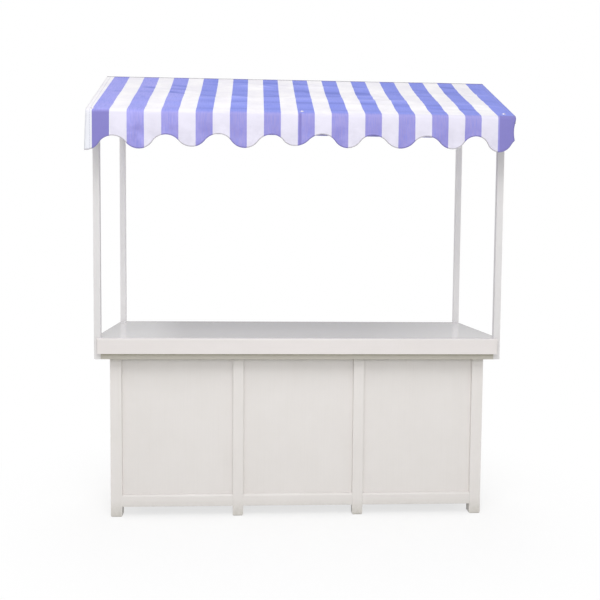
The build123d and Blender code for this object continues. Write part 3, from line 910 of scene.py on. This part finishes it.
class STALL_OT_studio(bpy.types.Operator):
    """Sets up the camera, the lamps and the pale floor"""

    bl_idname = "stall.studio"
    bl_label = "Studio"

    def execute(self, context):
        settings = context.scene.stall_stage
        self.stand_camera(context.scene, settings)
        self.hang_lamps(context.scene, settings)
        self.lay_floor()
        self.hang_reflector()
        self.light_room(context.scene, settings)
        context.scene.view_settings.view_transform = "Standard"
        return {"FINISHED"}

    def stand_camera(self, scene, settings):
        """A camera in the place and with the lens that were fitted to the photo's edges."""
        data = bpy.data.cameras.new("stall_camera")
        data.lens = settings.lens
        data.sensor_width = 36.0
        data.clip_end = 100.0
        camera = bpy.data.objects.new("stall_camera", data)
        yaw, pitch, roll = settings.camera_turn
        ahead = Vector((math.sin(yaw), math.cos(yaw), 0.0))
        level = Vector((math.cos(yaw), -math.sin(yaw), 0.0))
        forward = ahead * math.cos(pitch) - Vector((0.0, 0.0, math.sin(pitch)))
        upright = level.cross(forward)
        right = level * math.cos(roll) + upright * math.sin(roll)
        up = upright * math.cos(roll) - level * math.sin(roll)
        turn = Matrix((right, up, -forward)).transposed().to_4x4()
        camera.matrix_world = Matrix.Translation(Vector(settings.camera_place)) @ turn
        scene.collection.objects.link(camera)
        scene.camera = camera

    def hang_lamps(self, scene, settings):
        """Five soft lamps. The counter mirrors the key lamp alone, so that its gloss clips from no side."""
        for name, place, aim, power, width, mirrored in (
            ("key_lamp", (-0.45, -3.8, 5.2), (0.0, -0.1, 1.1), settings.key_power, 3.4, True),
            ("fill_lamp", (0.4, -7.0, 1.9), (0.0, 0.0, 1.2), settings.fill_power, 3.6, False),
            ("back_lamp", (0.0, 4.6, 3.6), (0.0, 0.1, 1.0), settings.back_power, 2.4, False),
            ("left_end_lamp", (-5.0, 0.9, 1.9), (-1.0, 0.1, 1.0), settings.end_power, 2.4, False),
            ("right_end_lamp", (5.0, 0.9, 1.9), (1.0, 0.1, 1.0), settings.end_power, 2.4, False),
        ):
            data = bpy.data.lights.new(name, "AREA")
            data.shape = "SQUARE"
            data.size = width
            data.energy = power
            lamp = bpy.data.objects.new(name, data)
            lamp.visible_glossy = mirrored
            turn = (Vector(aim) - Vector(place)).to_track_quat("-Z", "Y").to_matrix().to_4x4()
            lamp.matrix_world = Matrix.Translation(Vector(place)) @ turn
            scene.collection.objects.link(lamp)

    def lay_floor(self):
        """A matt floor, white to the eye but grey to the light that it throws back up at the stall."""
        material = bpy.data.materials.new("pale_studio_floor")
        add = node_adder(material)
        seen = seen_share(add)
        matt = add("BsdfDiffuse", add("Mix", seen, A=tone("#E4E4E0"), B=tone("#FFFFFF"), **COLOURS))
        glow = add("Emission", (1, 1, 1, 1), Strength=1.0)
        # Close to the stall 71 % of what shows is plain white, and from 0.8 m to 2 m away it grows to all
        place = add("TexCoord", out="Object")
        distance = add("VectorMath LENGTH", place, out="Value")
        far = add("MapRange", distance, 0.8, 2.0, 0.71, 1.0, interpolation_type="SMOOTHSTEP")
        glow_share = add("Math MULTIPLY", seen, far)
        add("OutputMaterial", add("MixShader", glow_share, matt, glow), out=None)

        def cut_disc(build):
            bmesh.ops.create_circle(build, cap_ends=True, segments=96, radius=14.0)

        new_object("studio_floor", cut_disc, material)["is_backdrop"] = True

    def hang_reflector(self):
        """A grey card behind the stall, seen only in the gloss of the counter."""
        material = bpy.data.materials.new("grey_card_paper")
        add = node_adder(material)
        # Its sides are paler, beyond 1.1 m on the left and 1.2 m on the right
        across = add("SeparateXYZ", add("TexCoord", out="Object"))
        left_side = add("MapRange", across, -1.1, -1.5)
        right_side = add("MapRange", across, 1.2, 2.6)
        sides = add("Math MAXIMUM", left_side, right_side)
        paper = add("Mix", sides, A=tone("#A6A6A6"), B=tone("#C4C4C4"), **COLOURS)
        glow = add("Emission", paper, Strength=1.0)
        add("OutputMaterial", glow, out=None)

        def cut_card(build):
            bmesh.ops.create_grid(build, x_segments=1, y_segments=1, size=0.5)
            bmesh.ops.scale(build, vec=(16.0, 5.0, 1.0), verts=build.verts)
            upright = Matrix.Rotation(math.radians(90), 3, "X")
            bmesh.ops.rotate(build, cent=(0, 0, 0), matrix=upright, verts=build.verts)
            bmesh.ops.translate(build, vec=(0.0, 6.0, 2.5), verts=build.verts)

        card = new_object("grey_card", cut_card, material)
        for rays in ("camera", "diffuse", "shadow", "transmission"):
            setattr(card, "visible_" + rays, False)
        card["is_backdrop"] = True

    def light_room(self, scene, settings):
        """Soft light from all round, which shows as plain white."""
        world = bpy.data.worlds.new("studio_room")
        add = node_adder(world)
        room = add("Background", (1, 1, 1, 1), Strength=settings.room_light)
        plain = add("Background", (1, 1, 1, 1), Strength=1.0)
        add("OutputWorld", add("MixShader", seen_share(add), room, plain), out=None)
        scene.world = world


class STALL_PT_sidebar(bpy.types.Panel):
    """Lists the steps that dress the stall"""

    bl_idname = "STALL_PT_sidebar"
    bl_label = "Market stall"
    bl_space_type = "VIEW_3D"
    bl_region_type = "UI"
    bl_category = "Stall"

    def draw(self, context):
        for step in OPERATORS:
            self.layout.operator(step.bl_idname)


SETTINGS = {
    "stall_cover": StallCoverSettings,
    "stall_paint": StallPaintSettings,
    "stall_stage": StallStageSettings,
}
OPERATORS = [STALL_OT_paint, STALL_OT_cover, STALL_OT_fixings, STALL_OT_studio]
CLASSES = [*SETTINGS.values(), *OPERATORS, STALL_PT_sidebar]


def register():
    for cls in CLASSES:
        bpy.utils.register_class(cls)
    for name, group in SETTINGS.items():
        setattr(bpy.types.Scene, name, PointerProperty(type=group))


def unregister():
    for name in SETTINGS:
        delattr(bpy.types.Scene, name)
    for cls in reversed(CLASSES):
        bpy.utils.unregister_class(cls)


def main():
    """Dresses the stall step by step."""
    register()
    bpy.ops.stall.paint()
    bpy.ops.stall.cover()
    bpy.ops.stall.fixings()
    bpy.ops.stall.studio()
    bpy.context.view_layer.update()
    boxes = [[list(map(float, corner)) for corner in box] for box in (cad_box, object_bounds())]


if __name__ == "__main__":
    main()
